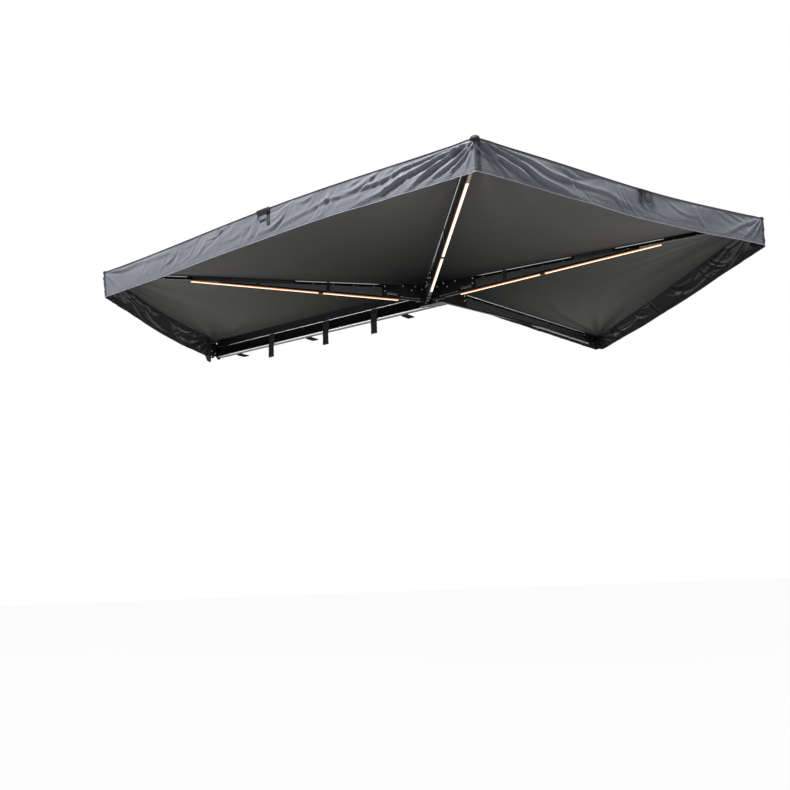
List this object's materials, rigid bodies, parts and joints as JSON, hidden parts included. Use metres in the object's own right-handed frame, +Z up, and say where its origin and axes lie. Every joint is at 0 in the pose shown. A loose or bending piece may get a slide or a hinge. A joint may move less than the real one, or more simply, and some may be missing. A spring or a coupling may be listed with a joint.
{
  "type": "vehicle side awning",
  "caption": "Fold-out side awning: a mounting rail, swinging arms with light bars that hinge at one hub, and a fan of canopy panels with hanging valances.",
  "frame": {"origin": "middle roof-rack bracket, centre of its lower face between the two slots", "axes": "+Y forward along the mounting rail, +X toward the vehicle, +Z up"},
  "size_m": [4.1276, 4.6509, 0.3045],
  "materials": {
    "rail_aluminium": "black anodised",
    "arm_aluminium": "grey anodised",
    "casting": "black powder coat",
    "pin_steel": "zinc plated",
    "black_plastic": "moulded",
    "light_bar": "white lens with amber edges",
    "canopy_fabric": "coated ripstop canvas",
    "valance_fabric": "coated ripstop canvas",
    "webbing": "woven webbing"
  },
  "bodies": {
    "rail": {"mounting_rail": "rail_aluminium", "rail_cap_rear": "black_plastic", "rail_cap_front": "black_plastic", "first_rafter": "rail_aluminium", "hub_bracket": "casting", "front_latch_bracket": "casting", "mount_bracket_rear": "casting", "mount_bracket_middle": "casting", "mount_bracket_front": "casting", "storage_strap_rear": "webbing", "strap_buckle_rear": "black_plastic", "storage_strap_middle": "webbing", "strap_buckle_middle": "black_plastic", "storage_strap_front": "webbing", "strap_buckle_front": "black_plastic", "king_pin_1": "pin_steel"},
    "arm_1": {"arm_1_root_casting": "casting", "arm_1_rafter": "arm_aluminium", "arm_1_web": "arm_aluminium", "arm_1_tip_cap": "black_plastic", "arm_1_side_pocket": "webbing", "arm_1_brace": "rail_aluminium", "arm_1_light_inner": "light_bar", "arm_1_light_outer": "light_bar", "arm_1_light_clip": "black_plastic", "king_pin_2": "pin_steel", "canopy_panel_1": "canopy_fabric", "valance_1": "valance_fabric"},
    "arm_2": {"arm_2_root_casting": "casting", "arm_2_rafter": "arm_aluminium", "arm_2_web": "arm_aluminium", "arm_2_tip_cap": "black_plastic", "arm_2_brace": "rail_aluminium", "arm_2_light_inner": "light_bar", "arm_2_light_outer": "light_bar", "arm_2_light_clip": "black_plastic", "king_pin_3": "pin_steel", "canopy_panel_2": "canopy_fabric", "valance_2": "valance_fabric"},
    "arm_3": {"arm_3_root_casting": "casting", "arm_3_rafter": "arm_aluminium", "arm_3_web": "arm_aluminium", "arm_3_tip_cap": "black_plastic", "arm_3_side_pocket": "webbing", "arm_3_brace": "rail_aluminium", "arm_3_light_inner": "light_bar", "arm_3_light_outer": "light_bar", "arm_3_light_clip": "black_plastic", "king_pin_4": "pin_steel", "canopy_panel_3": "canopy_fabric", "valance_3": "valance_fabric"},
    "arm_4": {"arm_4_root_casting": "casting", "arm_4_rafter": "arm_aluminium", "arm_4_web": "arm_aluminium", "arm_4_tip_cap": "black_plastic", "arm_4_brace": "rail_aluminium", "side_flap": "valance_fabric", "canopy_panel_4": "canopy_fabric", "valance_4": "valance_fabric"}
  },
  "joints": [
    {"name": "arm_1_swing", "type": "hinge", "parent": "rail", "child": "arm_1", "pos_m": [-0.1283, -1.2306, 0.091], "axis": [0, 0, 1], "range_deg": [-49, 0], "deforming": ["canopy_panel_1", "valance_1"]},
    {"name": "arm_2_swing", "type": "hinge", "parent": "arm_1", "child": "arm_2", "pos_m": [-0.15848, -1.26532, 0.091], "axis": [0, 0, 1], "range_deg": [-81, 0], "deforming": ["canopy_panel_2", "valance_2"]},
    {"name": "arm_3_swing", "type": "hinge", "parent": "arm_2", "child": "arm_3", "pos_m": [-0.12891, -1.30055, 0.091], "axis": [0, 0, 1], "range_deg": [-58, 0], "deforming": ["canopy_panel_3", "valance_3"]},
    {"name": "arm_4_swing", "type": "hinge", "parent": "arm_3", "child": "arm_4", "pos_m": [-0.08336, -1.29415, 0.091], "axis": [0, 0, 1], "range_deg": [-75, 0], "deforming": ["canopy_panel_4", "valance_4"]}
  ]
}
